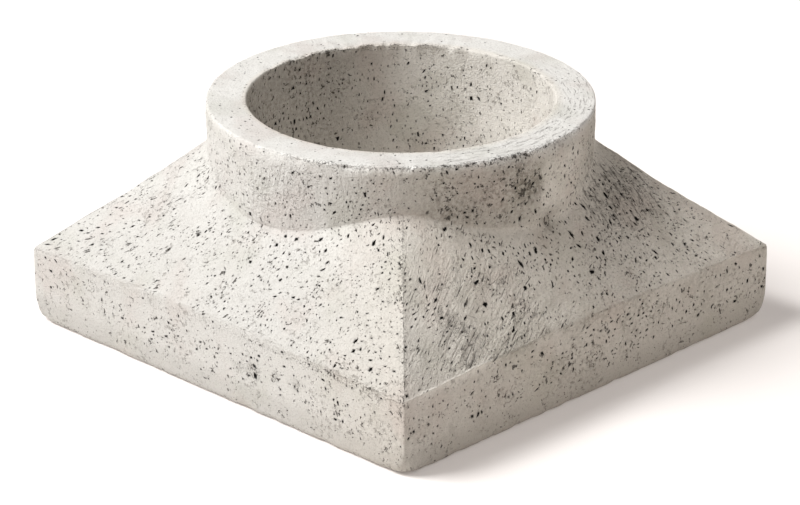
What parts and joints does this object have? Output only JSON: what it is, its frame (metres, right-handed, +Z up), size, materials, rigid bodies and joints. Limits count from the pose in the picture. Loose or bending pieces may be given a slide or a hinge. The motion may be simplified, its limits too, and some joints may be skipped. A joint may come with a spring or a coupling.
{
  "type": "column base block",
  "caption": "One-piece cast concrete column base: a square slab whose sloping faces rise to a round collar with a wide through bore.",
  "frame": {"origin": "middle of the flat underside, on the bore's axis", "axes": "+Z up along the bore's axis, +X and +Y square to two of the slab's upright faces"},
  "size_m": [0.4, 0.4, 0.182],
  "materials": {
    "cast_concrete": "matt pale warm grey cast concrete, rough trowelled slopes, open air holes"
  },
  "bodies": {
    "root": {"column_base_block": "cast_concrete"}
  },
  "joints": []
}
